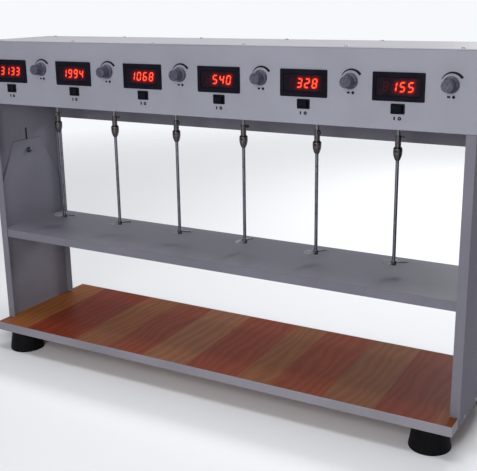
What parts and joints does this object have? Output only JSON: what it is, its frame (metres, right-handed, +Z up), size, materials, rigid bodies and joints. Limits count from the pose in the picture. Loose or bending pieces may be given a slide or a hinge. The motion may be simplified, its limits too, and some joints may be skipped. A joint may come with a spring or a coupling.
{
  "type": "jar tester",
  "caption": "Bench stirring rig for jar tests: a sheet metal bridge on a wooden board, with a row of driven stirrers over an adjustable shelf, each with its own meter, knob and switch.",
  "frame": {"origin": "on the bench, under the middle of the board", "axes": "+X to the right as seen from the front, +Y to the back, +Z up"},
  "size_m": [0.9556, 0.266, 0.6168],
  "materials": {
    "case_paint": "satin",
    "shelf_paint": "satin",
    "board_laminate": "satin",
    "edge_strip": "satin",
    "foot_rubber": "matte",
    "screw_steel": "satin",
    "shaft_steel": "satin",
    "chuck_steel": "satin",
    "stirrer_steel": "satin",
    "meter_black": "satin",
    "meter_red": "gloss",
    "switch_black": "satin",
    "knob_grey": "satin",
    "motor_case": "satin",
    "control_metal": "satin",
    "circuit_green": "satin",
    "transformer_iron": "matte",
    "inlet_black": "satin"
  },
  "bodies": {
    "case": {"base_board": "board_laminate", "edge_band": "edge_strip", "rubber_feet": "foot_rubber", "foot_screws": "screw_steel", "left_side_panel": "case_paint", "right_side_panel": "case_paint", "case_screws": "screw_steel", "front_panel": "case_paint", "rear_panel": "case_paint", "top_cover": "case_paint", "top_cover_screws": "screw_steel", "motor_plate": "case_paint", "motors": "motor_case", "motor_screws": "screw_steel", "meter_cases": "meter_black", "meter_windows": "meter_red", "switch_frames": "switch_black", "potentiometers": "control_metal", "control_boards": "circuit_green", "transformer": "transformer_iron", "power_inlet": "inlet_black"},
    "shelf": {"shelf": "shelf_paint", "clamp_screws": "screw_steel", "clamp_nuts": "screw_steel"},
    "stirring_1": {"spindle_1": "shaft_steel", "chuck_1": "chuck_steel", "thumb_screw_1": "chuck_steel", "stirrer_1": "stirrer_steel"},
    "knob_1": {"speed_knob_1": "knob_grey"},
    "switch_1": {"rocker_1": "switch_black"},
    "stirring_2": {"spindle_2": "shaft_steel", "chuck_2": "chuck_steel", "thumb_screw_2": "chuck_steel", "stirrer_2": "stirrer_steel"},
    "knob_2": {"speed_knob_2": "knob_grey"},
    "switch_2": {"rocker_2": "switch_black"},
    "stirring_3": {"spindle_3": "shaft_steel", "chuck_3": "chuck_steel", "thumb_screw_3": "chuck_steel", "stirrer_3": "stirrer_steel"},
    "knob_3": {"speed_knob_3": "knob_grey"},
    "switch_3": {"rocker_3": "switch_black"},
    "stirring_4": {"spindle_4": "shaft_steel", "chuck_4": "chuck_steel", "thumb_screw_4": "chuck_steel", "stirrer_4": "stirrer_steel"},
    "knob_4": {"speed_knob_4": "knob_grey"},
    "switch_4": {"rocker_4": "switch_black"},
    "stirring_5": {"spindle_5": "shaft_steel", "chuck_5": "chuck_steel", "thumb_screw_5": "chuck_steel", "stirrer_5": "stirrer_steel"},
    "knob_5": {"speed_knob_5": "knob_grey"},
    "switch_5": {"rocker_5": "switch_black"},
    "stirring_6": {"spindle_6": "shaft_steel", "chuck_6": "chuck_steel", "thumb_screw_6": "chuck_steel", "stirrer_6": "stirrer_steel"},
    "knob_6": {"speed_knob_6": "knob_grey"},
    "switch_6": {"rocker_6": "switch_black"}
  },
  "joints": [
    {"name": "shelf_height", "type": "slide", "parent": "case", "child": "shelf", "axis": [0, 0, 1], "range_m": [-0.11, 0.0125]},
    {"name": "spindle_1_turn", "type": "hinge", "parent": "case", "child": "stirring_1", "pos_m": [-0.3804, -0.008, 0.49], "axis": [0, 0, 1], "continuous": true},
    {"name": "speed_1_turn", "type": "hinge", "parent": "case", "child": "knob_1", "pos_m": [-0.3306, -0.099, 0.5656], "axis": [0, 1, 0], "range_deg": [-234.9, 65.1]},
    {"name": "switch_1_rock", "type": "hinge", "parent": "case", "child": "switch_1", "pos_m": [-0.4074, -0.0978, 0.528], "axis": [0, 0, 1], "range_deg": [0, 16]},
    {"name": "spindle_2_turn", "type": "hinge", "parent": "case", "child": "stirring_2", "pos_m": [-0.2397, -0.008, 0.49], "axis": [0, 0, 1], "continuous": true},
    {"name": "speed_2_turn", "type": "hinge", "parent": "case", "child": "knob_2", "pos_m": [-0.1786, -0.099, 0.5656], "axis": [0, 1, 0], "range_deg": [-149.4, 150.6]},
    {"name": "switch_2_rock", "type": "hinge", "parent": "case", "child": "switch_2", "pos_m": [-0.2554, -0.0978, 0.528], "axis": [0, 0, 1], "range_deg": [0, 16]},
    {"name": "spindle_3_turn", "type": "hinge", "parent": "case", "child": "stirring_3", "pos_m": [-0.099, -0.008, 0.49], "axis": [0, 0, 1], "continuous": true},
    {"name": "speed_3_turn", "type": "hinge", "parent": "case", "child": "knob_3", "pos_m": [-0.0266, -0.099, 0.5656], "axis": [0, 1, 0], "range_deg": [-80.1, 219.9]},
    {"name": "switch_3_rock", "type": "hinge", "parent": "case", "child": "switch_3", "pos_m": [-0.1034, -0.0978, 0.528], "axis": [0, 0, 1], "range_deg": [0, 16]},
    {"name": "spindle_4_turn", "type": "hinge", "parent": "case", "child": "stirring_4", "pos_m": [0.0417, -0.008, 0.49], "axis": [0, 0, 1], "continuous": true},
    {"name": "speed_4_turn", "type": "hinge", "parent": "case", "child": "knob_4", "pos_m": [0.1254, -0.099, 0.5656], "axis": [0, 1, 0], "range_deg": [-40.5, 259.5]},
    {"name": "switch_4_rock", "type": "hinge", "parent": "case", "child": "switch_4", "pos_m": [0.0486, -0.0978, 0.528], "axis": [0, 0, 1], "range_deg": [0, 16]},
    {"name": "spindle_5_turn", "type": "hinge", "parent": "case", "child": "stirring_5", "pos_m": [0.1824, -0.008, 0.49], "axis": [0, 0, 1], "continuous": true},
    {"name": "speed_5_turn", "type": "hinge", "parent": "case", "child": "knob_5", "pos_m": [0.2774, -0.099, 0.5656], "axis": [0, 1, 0], "range_deg": [-24.6, 275.4]},
    {"name": "switch_5_rock", "type": "hinge", "parent": "case", "child": "switch_5", "pos_m": [0.2006, -0.0978, 0.528], "axis": [0, 0, 1], "range_deg": [0, 16]},
    {"name": "spindle_6_turn", "type": "hinge", "parent": "case", "child": "stirring_6", "pos_m": [0.3231, -0.008, 0.49], "axis": [0, 0, 1], "continuous": true},
    {"name": "speed_6_turn", "type": "hinge", "parent": "case", "child": "knob_6", "pos_m": [0.4294, -0.099, 0.5656], "axis": [0, 1, 0], "range_deg": [-11.7, 288.3]},
    {"name": "switch_6_rock", "type": "hinge", "parent": "case", "child": "switch_6", "pos_m": [0.3526, -0.0978, 0.528], "axis": [0, 0, 1], "range_deg": [0, 16]}
  ]
}
